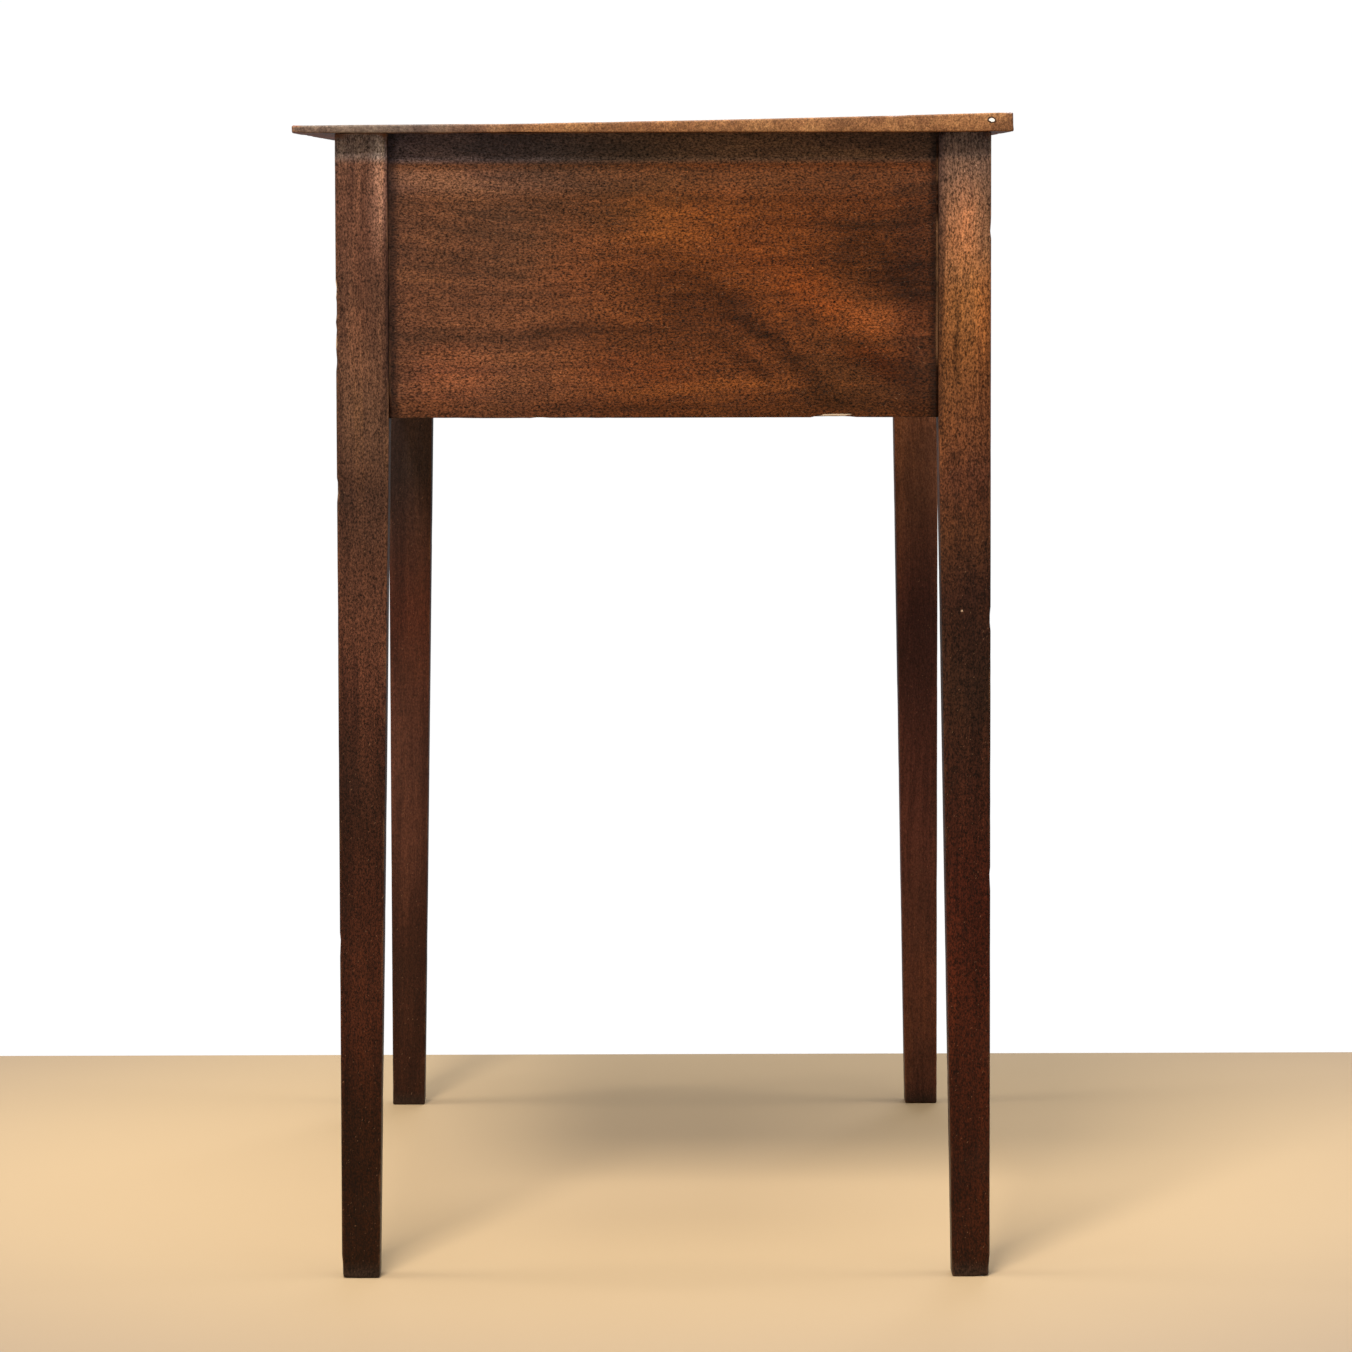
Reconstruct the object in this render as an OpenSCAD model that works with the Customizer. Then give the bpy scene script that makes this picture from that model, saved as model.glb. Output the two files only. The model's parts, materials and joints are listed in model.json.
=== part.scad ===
// Mahogany side table with one drawer.
// Frame: +Z up, front of the table towards -Y, width along X.
// Origin: on the floor, below the middle of the top.

/* [Overall] */
// Height of the top's back edge above the floor
height = 721.5; // [680:0.5:760]
// Width of the top, side to side
top_w = 790; // [700:10:900]
// Depth of the top, front to back
top_d = 442; // [420:2:480]

/* [Top] */
// Thickness of the top at its front edge
top_t_front = 5; // [4:0.5:12]
// Thickness of the top at its back edge
top_t_back = 12; // [10:0.5:18]
// How late the thickness rises, front to back
top_rise = 1.8; // [1:0.05:2]
// How far the top stands past the front legs
overhang_front = 26; // [20:1:35]
// How far the top stands past the back legs
overhang_back = 13; // [8:1:20]
// How far the top stands past the legs at each side
overhang_side = 14; // [10:1:25]

/* [Legs] */
// Leg section beside the rails
leg_top = 32.5; // [30:0.5:34]
// Leg section at the floor
leg_foot = 23.5; // [20:0.5:26]

/* [Rails] */
// Height of the side and back rails
rail_h = 175; // [165:1:190]
// Thickness of the side and back rails
rail_t = 18; // [16:0.5:19]
// How far each rail's face lies behind the legs' faces
setback = 3.5; // [2:0.5:4]
// Height of the rail below the drawer
front_low_h = 20; // [18:1:24]
// Height of the rail above the drawer
front_high_h = 18; // [17:1:22]
// Depth of the two front rails, front to back
front_rail_d = 45; // [44:1:55]
// Thickness of the tenons
tenon_t = 8; // [6:0.5:9]
// Length of the tenons
tenon_l = 14; // [10:0.5:14]

/* [Drawer] */
// Thickness of the drawer front
front_t = 19; // [18:0.5:22]
// Thickness of the drawer sides and back
side_t = 9; // [8:0.5:11]
// Gap round the drawer front
reveal = 0.8; // [0.6:0.1:1.5]
// Thickness of the drawer bottom
bottom_t = 6; // [5:0.5:7]

/* [Flush pulls] */
// Distance of each pull from the middle
pull_x = 205; // [150:5:250]
// Width of the brass plate
plate_w = 78; // [74:1:90]
// Height of the brass plate
plate_h = 52; // [50:1:60]
// Radius of the ring, to the middle of its bar
ring_r = 19; // [17:0.5:20]
// Diameter of the ring's bar
ring_bar = 5; // [4:0.5:5.5]

/* [Hidden] */
$fn = 64;
e = 0.01;
mahogany = [0.36, 0.19, 0.12];
pine = [0.70, 0.52, 0.33];
brass = [0.72, 0.55, 0.25];

under = height - top_t_back;               // underside of the top
leg_x = top_w / 2 - overhang_side;         // outer face of the legs, side
leg_f = -(top_d / 2 - overhang_front);     // outer face of the front legs
leg_b = top_d / 2 - overhang_back;         // outer face of the back legs
in_x = leg_x - leg_top;                    // inner faces of the legs
in_f = leg_f + leg_top;
in_b = leg_b - leg_top;
rail_z = under - rail_h;                   // lower edge of the rails
rail_x1 = leg_x - setback;                 // outer face of the side rails
rail_x0 = rail_x1 - rail_t;                // inner face of the side rails
back_y1 = leg_b - setback;                 // outer face of the back rail
back_y0 = back_y1 - rail_t;                // inner face of the back rail
front_y = leg_f + setback;                 // face of the front rails and the drawer front
front_yb = front_y + front_rail_d;         // back of the front rails
low_z = rail_z + front_low_h;              // drawer opening, bottom
high_z = under - front_high_h;             // drawer opening, top
run_x = in_x - 22.5;                       // inner side of runners and kickers
ten_z0 = rail_z + 12.5;                    // tenons of the deep rails
ten_z1 = under - 18.5;

// Drawer box
dx1 = in_x - reveal;                       // outer face of the drawer sides
dx0 = dx1 - side_t;                        // inner face of the drawer sides
dz0 = low_z + 0.2;                         // lower edge of the sides
dz1 = high_z - 1.8;                        // upper edge of the sides
fz0 = low_z + reveal;                      // drawer front, lower and upper edge
fz1 = high_z - reveal;
fy1 = front_y + front_t;                   // back face of the drawer front
lap = 6;                                   // wood left in front of the dovetails
dyb = back_y0 - 19.5;                      // back face of the drawer back
groove_d = 4;                              // depth of the bottom's groove
bz0 = dz0 + 7.3;                           // underside of the drawer bottom
bz1 = bz0 + bottom_t;
back_z1 = dz1 - 5;                         // upper edge of the drawer back

// Flush pull, in its own frame: x sideways, y into the wood from the plate's face, z up
pull_z = (fz0 + fz1) / 2;                  // middle of the plate
pull_y = front_y - 0.2;                    // face of the plate
piv_z = 9;                                 // pivot above the middle of the plate
piv_y = ring_bar / 2 + 0.4;                // pivot behind the plate's face
well_r = ring_r + 8;                       // inside radius of the well
well_d = 12;                               // inside depth of the well
wall = 1.5;                                // wall of the well
well_up = 6.5;                             // well above the pivot
trun_r = 2;                                // radius of the ring's trunnions
screw_x = plate_w / 2 - 6;
screw_z = plate_h / 2 - 6;

// A box from its two corners
module bx(a, b) { translate(a) cube([b[0] - a[0], b[1] - a[1], b[2] - a[2]]); }
// Both sides of the table
module pair() { children(); mirror([1, 0, 0]) children(); }

// ---------- top ----------
top_n = 11;
function top_z(u) = under + top_t_front + (top_t_back - top_t_front) * pow(u, top_rise);
module table_top() {
  color(mahogany)
  translate([-top_w / 2, 0, 0]) rotate([90, 0, 90])
    linear_extrude(top_w)
      polygon(concat([[-top_d / 2, under]],
                     [for (i = [0:top_n]) [-top_d / 2 + top_d * i / top_n, top_z(i / top_n)]],
                     [[top_d / 2, under]]));
}

// ---------- legs ----------
// One leg with its outer faces at x = 0 and y = 0, tapered on the two inner faces
module leg_blank() {
  intersection() {
    translate([0, leg_top, 0]) rotate([90, 0, 0]) linear_extrude(leg_top)
      polygon([[0, 0], [leg_foot, 0], [leg_top, rail_z], [leg_top, under], [0, under]]);
    rotate([90, 0, 90]) linear_extrude(leg_top)
      polygon([[0, 0], [leg_foot, 0], [leg_top, rail_z], [leg_top, under], [0, under]]);
  }
}
module leg_front() {
  difference() {
    translate([leg_x, leg_f, 0]) mirror([1, 0, 0]) leg_blank();
    side_tenon_front();
    low_tenon();
    high_dovetail();
  }
}
module leg_back() {
  difference() {
    translate([leg_x, leg_b, 0]) mirror([1, 0, 0]) mirror([0, 1, 0]) leg_blank();
    side_tenon_back();
    back_tenon();
  }
}
module leg_front_right() { color(mahogany) leg_front(); }
module leg_front_left() { color(mahogany) mirror([1, 0, 0]) leg_front(); }
module leg_back_right() { color(mahogany) leg_back(); }
module leg_back_left() { color(mahogany) mirror([1, 0, 0]) leg_back(); }

// ---------- tenons, for the +X side ----------
ten_x = (rail_x0 + rail_x1) / 2;
ten_y = (back_y0 + back_y1) / 2;
ten_len = min(tenon_l, ten_x - tenon_t / 2 - 1 - in_x); // clears the crossing tenon
module side_tenon_front() { bx([ten_x - tenon_t / 2, in_f - ten_len, ten_z0], [ten_x + tenon_t / 2, in_f, ten_z1]); }
module side_tenon_back() { bx([ten_x - tenon_t / 2, in_b, ten_z0], [ten_x + tenon_t / 2, in_b + ten_len, ten_z1]); }
module back_tenon() { bx([in_x, ten_y - tenon_t / 2, ten_z0], [in_x + ten_len, ten_y + tenon_t / 2, ten_z1]); }
module low_tenon() { bx([in_x, leg_f + 9, rail_z + 5.5], [in_x + ten_len, in_f - 6.5, rail_z + 14.5]); }
module high_dovetail() {
  my = (leg_f + in_f) / 2;
  translate([0, 0, under - 14]) linear_extrude(14)
    polygon([[in_x, my - 7], [in_x + 21, my - 11], [in_x + 21, my + 11], [in_x, my + 7]]);
}

// ---------- rails ----------
module side_rail() {
  bx([rail_x0, in_f, rail_z], [rail_x1, in_b, under]);
  side_tenon_front();
  side_tenon_back();
}
module side_rail_right() { color(mahogany) side_rail(); }
module side_rail_left() { color(mahogany) mirror([1, 0, 0]) side_rail(); }
module back_rail() {
  color(mahogany) {
    bx([-in_x, back_y0, rail_z], [in_x, back_y1, under]);
    pair() back_tenon();
  }
}
module front_rail_upper() {
  color(mahogany) {
    bx([-in_x, front_y, high_z], [in_x, front_yb, under]);
    pair() {
      high_dovetail();
      bx([in_x - e, in_f, high_z], [rail_x0, front_yb, under]);
    }
  }
}
module runner_tongue() { bx([run_x + 4, front_yb - 8, rail_z + 6], [in_x - 3, front_yb, rail_z + 13]); }
module front_rail_lower() {
  color(mahogany) difference() {
    union() {
      bx([-in_x, front_y, rail_z], [in_x, front_yb, low_z]);
      pair() {
        low_tenon();
        bx([in_x - e, in_f, rail_z], [rail_x0, front_yb, low_z]);
      }
    }
    pair() runner_tongue();
  }
}

// ---------- drawer supports ----------
module bearer(z0, z1) {
  bx([run_x, front_yb, z0], [rail_x0, in_b, z1]);
  bx([run_x, in_b - e, z0], [in_x, back_y0, z1]);
}
module runner() { bearer(rail_z, low_z); runner_tongue(); }
module runner_right() { color(pine) runner(); }
module runner_left() { color(pine) mirror([1, 0, 0]) runner(); }
module kicker_right() { color(pine) bearer(high_z, under); }
module kicker_left() { color(pine) mirror([1, 0, 0]) bearer(high_z, under); }
module guide() { bx([in_x, front_yb, low_z], [rail_x0, in_b, low_z + 22]); }
module guide_right() { color(pine) guide(); }
module guide_left() { color(pine) mirror([1, 0, 0]) guide(); }
module glue_blocks() {
  color(pine) for (x = [-210, 0, 210])
    translate([x - 30, back_y0, under]) rotate([90, 0, 90]) linear_extrude(60)
      polygon([[0, 0], [0, -17], [-3, -17], [-17, -3], [-17, 0]]);
}
module drawer_stops() {
  color(mahogany) for (x = [-235, 235])
    bx([x - 16, fy1 + 0.2, low_z], [x + 16, fy1 + 18.2, low_z + 4.2]);
}

// ---------- drawer ----------
// A dovetail in the side's plane: y from its root to its tip, z about its middle
module tail(y_root, y_tip, zc, w_root, w_tip, x0, x1) {
  translate([x0, 0, 0]) rotate([90, 0, 90]) linear_extrude(x1 - x0)
    polygon([[y_root, zc - w_root / 2], [y_tip, zc - w_tip / 2], [y_tip, zc + w_tip / 2], [y_root, zc + w_root / 2]]);
}
f_pitch = (dz1 - dz0) / 3;
f_len = front_t - lap;
module front_tails(grow = 0) {
  for (i = [0:2])
    tail(fy1 + grow, front_y + lap, dz0 + f_pitch * (i + 0.5), f_pitch - 5 - f_len / 3, f_pitch - 5, dx0, dx1 + grow);
}
b_pitch = (back_z1 - bz1) / 3;
module back_tails() {
  for (i = [0:2])
    tail(dyb - side_t, dyb, bz1 + b_pitch * (i + 0.5), b_pitch - 8, b_pitch - 5, dx0, dx1);
}
module back_zone() { bx([dx0, dyb - side_t, bz1], [dx1, dyb, back_z1]); }
module bottom_groove() { bx([dx0 - e, fy1 - groove_d, bz0 - 0.1], [dx0 + groove_d, dyb + 1, bz1]); }
module drawer_side() {
  difference() {
    union() {
      bx([dx0, fy1, dz0], [dx1, dyb, dz1]);
      front_tails();
    }
    difference() {
      bx([dx0 - e, dyb - side_t, bz1], [dx1 + e, dyb + e, back_z1]);
      back_tails();
    }
    bottom_groove();
    // the side's upper edge drops to the back's height
    bx([dx0 - e, dyb - side_t, back_z1], [dx1 + e, dyb + e, dz1 + 1]);
  }
}
module drawer_side_right() { color(pine) drawer_side(); }
module drawer_side_left() { color(pine) mirror([1, 0, 0]) drawer_side(); }
nail_x = [for (i = [-2:2]) i * (dx0 - 60) / 2];
module at_nails() { for (x = nail_x) translate([x, dyb - side_t / 2, bz0]) children(); }
module drawer_back() {
  color(pine) difference() {
    bx([-dx1, dyb - side_t, bz1], [dx1, dyb, back_z1]);
    pair() back_tails();
    at_nails() cylinder(r = 0.9, h = 22, $fn = 24);
  }
}
module drawer_bottom() {
  color(pine) difference() {
    bx([-(dx0 + groove_d - 0.5), fy1 - groove_d + 0.5, bz0], [dx0 + groove_d - 0.5, dyb, bz1]);
    at_nails() translate([0, 0, -1]) cylinder(r = 0.9, h = 22, $fn = 24);
  }
}
module drawer_nails() {
  color("dimgray") at_nails() {
    translate([0, 0, -0.8]) cylinder(r = 2.2, h = 0.8, $fn = 24);
    cylinder(r = 0.9, h = 22, $fn = 24);
  }
}
module drawer_front() {
  color(mahogany) difference() {
    bx([-dx1, front_y, fz0], [dx1, fy1, fz1]);
    pair() front_tails(1);
    bx([-(dx0 + e), fy1 - groove_d, bz0 - 0.1], [dx0 + e, fy1 + 1, bz1]);
    pair() at_pull() {
      translate([-plate_w / 2, -1, -plate_h / 2]) plate_block(plate_w, plate_h, 3);
      well(wall + 0.2, -1, well_d + wall + 0.1);
      at_screws() cylinder(r = 1.5, h = 9.4, $fn = 32);
    }
  }
}

// ---------- flush pulls ----------
module at_pull() { translate([pull_x, pull_y, pull_z]) children(); }
// A block with round corners, its face in the x-z plane
module plate_block(w, h, t, r = 4) {
  translate([r, 0, 0]) cube([w - 2 * r, t, h]);
  translate([0, 0, r]) cube([w, t, h - 2 * r]);
  for (x = [r, w - r], z = [r, h - r]) translate([x, t, z]) rotate([90, 0, 0]) cylinder(r = r, h = t);
}
// The well's shape, widened by g, from depth y0 to y1: a disc cut off flat above the pivot
module well(g, y0, y1) {
  translate([0, 0, piv_z]) intersection() {
    translate([0, y1, 0]) rotate([90, 0, 0]) cylinder(r = well_r + g, h = y1 - y0, $fn = 96);
    bx([-60, y0, -60], [60, y1, well_up + g]);
  }
}
// Places one child at each screw of a pull, pointing into the wood
module at_screws() {
  for (sx = [-1, 1], sz = [-1, 1]) translate([sx * screw_x, 0, sz * screw_z]) rotate([-90, 0, 0]) children();
}
module pull_plate() {
  difference() {
    union() {
      translate([-plate_w / 2, 0, -plate_h / 2]) plate_block(plate_w, plate_h, 2);
      well(wall, 1, well_d + wall);
    }
    well(0, -1, well_d);
    for (s = [-1, 1])
      translate([0, piv_y, piv_z]) rotate([0, s * 90, 0]) cylinder(r = trun_r + 0.06, h = well_r + wall + 2, $fn = 32);
    at_screws() {
      translate([0, 0, -e]) cylinder(r1 = 3, r2 = 1.6, h = 1.5, $fn = 32);
      cylinder(r = 1.6, h = 4, $fn = 32);
    }
  }
}
module pull_ring() {
  translate([0, piv_y, piv_z]) {
    rotate([90, 0, 0]) rotate([0, 0, 180]) rotate_extrude(angle = 180, $fn = 96) translate([ring_r, 0]) circle(r = ring_bar / 2, $fn = 32);
    for (s = [-1, 1]) {
      translate([s * ring_r, 0, 0]) sphere(r = ring_bar / 2, $fn = 32);
      translate([s * ring_r, 0, 0]) rotate([0, s * 90, 0]) cylinder(r = trun_r, h = well_r + 1.2 - ring_r, $fn = 32);
    }
  }
}
module pull_plate_right() { color(brass) at_pull() pull_plate(); }
module pull_plate_left() { color(brass) mirror([1, 0, 0]) at_pull() pull_plate(); }
module pull_ring_right() { color(brass) at_pull() pull_ring(); }
module pull_ring_left() { color(brass) mirror([1, 0, 0]) at_pull() pull_ring(); }
module pull_screws() {
  color(brass) pair() at_pull() at_screws() {
    difference() {
      translate([0, 0, 0.05]) cylinder(r1 = 2.9, r2 = 1.5, h = 1.4, $fn = 32);
      translate([-4, -0.35, -1]) cube([8, 0.7, 1.6]);
    }
    translate([0, 0, 1.4]) cylinder(r = 1.5, h = 8, $fn = 32);
  }
}

table_top();
leg_front_left();
leg_front_right();
leg_back_left();
leg_back_right();
side_rail_left();
side_rail_right();
back_rail();
front_rail_upper();
front_rail_lower();
runner_left();
runner_right();
guide_left();
guide_right();
kicker_left();
kicker_right();
glue_blocks();
drawer_stops();
drawer_front();
drawer_side_left();
drawer_side_right();
drawer_back();
drawer_bottom();
drawer_nails();
pull_plate_left();
pull_plate_right();
pull_ring_left();
pull_ring_right();
pull_screws();
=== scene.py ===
import json
import math

import bmesh
import bpy
from mathutils import Matrix, Vector, noise

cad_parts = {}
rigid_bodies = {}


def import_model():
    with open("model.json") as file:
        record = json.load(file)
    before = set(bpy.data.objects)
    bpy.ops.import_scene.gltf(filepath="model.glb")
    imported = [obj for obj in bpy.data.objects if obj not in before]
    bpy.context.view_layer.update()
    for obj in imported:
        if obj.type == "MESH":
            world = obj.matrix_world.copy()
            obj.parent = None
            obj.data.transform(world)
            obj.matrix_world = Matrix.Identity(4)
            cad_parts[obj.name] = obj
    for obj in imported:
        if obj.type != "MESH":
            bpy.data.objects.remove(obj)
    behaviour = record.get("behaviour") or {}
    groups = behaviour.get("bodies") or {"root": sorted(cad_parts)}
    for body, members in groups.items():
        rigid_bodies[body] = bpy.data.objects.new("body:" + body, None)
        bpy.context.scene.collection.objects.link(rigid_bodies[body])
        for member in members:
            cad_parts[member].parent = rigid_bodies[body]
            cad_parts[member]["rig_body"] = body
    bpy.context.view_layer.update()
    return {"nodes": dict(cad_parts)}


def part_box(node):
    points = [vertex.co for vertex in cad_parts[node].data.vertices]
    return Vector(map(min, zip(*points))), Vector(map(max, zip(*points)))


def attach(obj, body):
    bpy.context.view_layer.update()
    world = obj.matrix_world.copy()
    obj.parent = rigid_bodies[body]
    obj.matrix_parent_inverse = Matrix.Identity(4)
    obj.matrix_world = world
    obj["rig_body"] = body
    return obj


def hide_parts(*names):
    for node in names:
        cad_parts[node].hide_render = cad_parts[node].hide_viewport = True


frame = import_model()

NODES = frame["nodes"]
MM = 0.001
scene = bpy.context.scene

# ------------------------------------------------------------------ camera
CAM = Vector((4.192, 0.0040, 0.6702))
PITCH, YAW, ROLL = (math.radians(a) for a in (4.425, 0.145, -0.140))


def make_camera():
    look = Vector((-math.cos(PITCH) * math.cos(YAW), math.cos(PITCH) * math.sin(YAW), -math.sin(PITCH)))
    right = look.cross(Vector((0, 0, 1))).normalized()
    up = right.cross(look)
    r = right * math.cos(ROLL) + up * math.sin(ROLL)
    u = -right * math.sin(ROLL) + up * math.cos(ROLL)
    data = bpy.data.cameras.new("camera")
    data.sensor_width = 36
    data.lens = 164.85
    data.clip_start, data.clip_end = 0.05, 60
    cam = bpy.data.objects.new("camera", data)
    m = Matrix((r, u, -look)).transposed().to_4x4()
    m.translation = CAM
    cam.matrix_world = m
    scene.collection.objects.link(cam)
    scene.camera = cam


make_camera()

# ------------------------------------------------------------------ stage and light
scene.view_settings.view_transform = "Standard"
scene.view_settings.look = "None"


def make_world():
    world = bpy.data.worlds.new("studio")
    scene.world = world
    world.use_nodes = True
    nt = world.node_tree
    nt.nodes.clear()
    out = nt.nodes.new("ShaderNodeOutputWorld")
    mix = nt.nodes.new("ShaderNodeMixShader")
    seen = nt.nodes.new("ShaderNodeBackground")
    lit = nt.nodes.new("ShaderNodeBackground")
    path = nt.nodes.new("ShaderNodeLightPath")
    seen.inputs[0].default_value = (1.0, 1.0, 1.0, 1)
    seen.inputs[1].default_value = 1.02
    lit.inputs[0].default_value = (0.86, 0.95, 1.0, 1)
    lit.inputs[1].default_value = 0.21
    nt.links.new(path.outputs["Is Camera Ray"], mix.inputs[0])
    nt.links.new(lit.outputs[0], mix.inputs[1])
    nt.links.new(seen.outputs[0], mix.inputs[2])
    nt.links.new(mix.outputs[0], out.inputs[0])


def area(name, loc, target, size, power, colour=(1, 1, 1)):
    data = bpy.data.lights.new(name, "AREA")
    data.shape = "SQUARE"
    data.size = size
    data.energy = power
    data.color = colour
    o = bpy.data.objects.new(name, data)
    o.location = loc
    o.rotation_mode = "QUATERNION"
    o.rotation_quaternion = (Vector(target) - Vector(loc)).to_track_quat("-Z", "Y")
    scene.collection.objects.link(o)
    return o


make_world()
area("key", (2.9, -0.55, 3.45), (0.3, 0.0, 0.45), 0.9, 190, (1.0, 0.95, 0.89))
area("overhead", (0.6, 0.0, 4.2), (0.4, 0.0, 0.0), 2.6, 99, (0.98, 0.99, 1.0))
area("left_fill", (0.2, -3.6, 2.2), (0, 0, 0.5), 1.8, 69, (1.0, 0.98, 0.96))
area("right_fill", (0.2, 3.6, 2.0), (0, 0, 0.5), 1.8, 48, (1.0, 0.98, 0.96))
area("back_fill", (-3.2, 0.4, 2.6), (0, 0, 0.5), 1.8, 44, (1.0, 0.98, 0.96))


def make_floor():
    bm = bmesh.new()
    for x, y in ((-0.626, -3.2), (5.2, -3.2), (5.2, 3.2), (-0.626, 3.2)):
        bm.verts.new((x, y, 0.0))
    bm.faces.new(bm.verts)
    # the floor is open under each foot, where it can't be seen, so that the feet aren't black from below
    feet = []
    for node in ("leg_front_left", "leg_front_right", "leg_back_left", "leg_back_right"):
        lo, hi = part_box(node)
        w = 23.5 * MM
        x = (lo.x, lo.x + w) if lo.x < 0 else (hi.x - w, hi.x)
        y = (lo.y, lo.y + w) if lo.y < 0 else (hi.y - w, hi.y)
        feet.append((x[0] + 4.5 * MM, x[1] - 4.5 * MM, y[0] + 4.5 * MM, y[1] - 4.5 * MM))
    for axis in (0, 1):
        for v in sorted({c for f in feet for c in f[2 * axis:2 * axis + 2]}):
            p, nrm = Vector((0, 0, 0)), Vector((0, 0, 0))
            p[axis], nrm[axis] = v, 1
            bmesh.ops.bisect_plane(bm, geom=bm.verts[:] + bm.edges[:] + bm.faces[:], dist=1e-6, plane_co=p, plane_no=nrm)
    gone = [f for f in bm.faces if any(a < f.calc_center_median().x < b and c < f.calc_center_median().y < d for a, b, c, d in feet)]
    bmesh.ops.delete(bm, geom=gone, context="FACES")
    me = bpy.data.meshes.new("floor")
    bm.to_mesh(me)
    bm.free()
    o = bpy.data.objects.new("floor", me)
    scene.collection.objects.link(o)
    m = bpy.data.materials.new("floor")
    m.use_nodes = True
    t = m.node_tree
    b = t.nodes["Principled BSDF"]
    b.inputs["Base Color"].default_value = (0.540, 0.377, 0.200, 1)
    b.inputs["Roughness"].default_value = 0.75
    # nothing is drawn from underneath, so the table can be looked at from below
    clear = t.nodes.new("ShaderNodeBsdfTransparent")
    # painted light: the floor is paler around the table and darker further out, a painted pool of light that also thins
    # the table's shadow on it
    co = t.nodes.new("ShaderNodeTexCoord")
    place = t.nodes.new("ShaderNodeMapping")
    place.vector_type = "TEXTURE"
    place.inputs["Location"].default_value = (-0.1, 0.0, 0.0)
    place.inputs["Scale"].default_value = (1.15, 1.0, 1.0)
    painted_light_pool = t.nodes.new("ShaderNodeTexGradient")
    painted_light_pool.gradient_type = "SPHERICAL"
    ramp = t.nodes.new("ShaderNodeValToRGB")
    ramp.color_ramp.interpolation = "EASE"
    ramp.color_ramp.elements[0].color = (0.276, 0.201, 0.134, 1)
    ramp.color_ramp.elements[1].color = (0.540, 0.377, 0.200, 1)
    ramp.color_ramp.elements[1].position = 0.75
    t.links.new(co.outputs["Object"], place.inputs["Vector"])
    t.links.new(place.outputs[0], painted_light_pool.inputs[0])
    t.links.new(painted_light_pool.outputs["Fac"], ramp.inputs[0])
    t.links.new(ramp.outputs[0], b.inputs["Base Color"])
    side = t.nodes.new("ShaderNodeNewGeometry")
    mix = t.nodes.new("ShaderNodeMixShader")
    t.links.new(side.outputs["Backfacing"], mix.inputs[0])
    t.links.new(b.outputs[0], mix.inputs[1])
    t.links.new(clear.outputs[0], mix.inputs[2])
    t.links.new(mix.outputs[0], t.nodes["Material Output"].inputs[0])
    me.materials.append(m)


make_floor()


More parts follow.
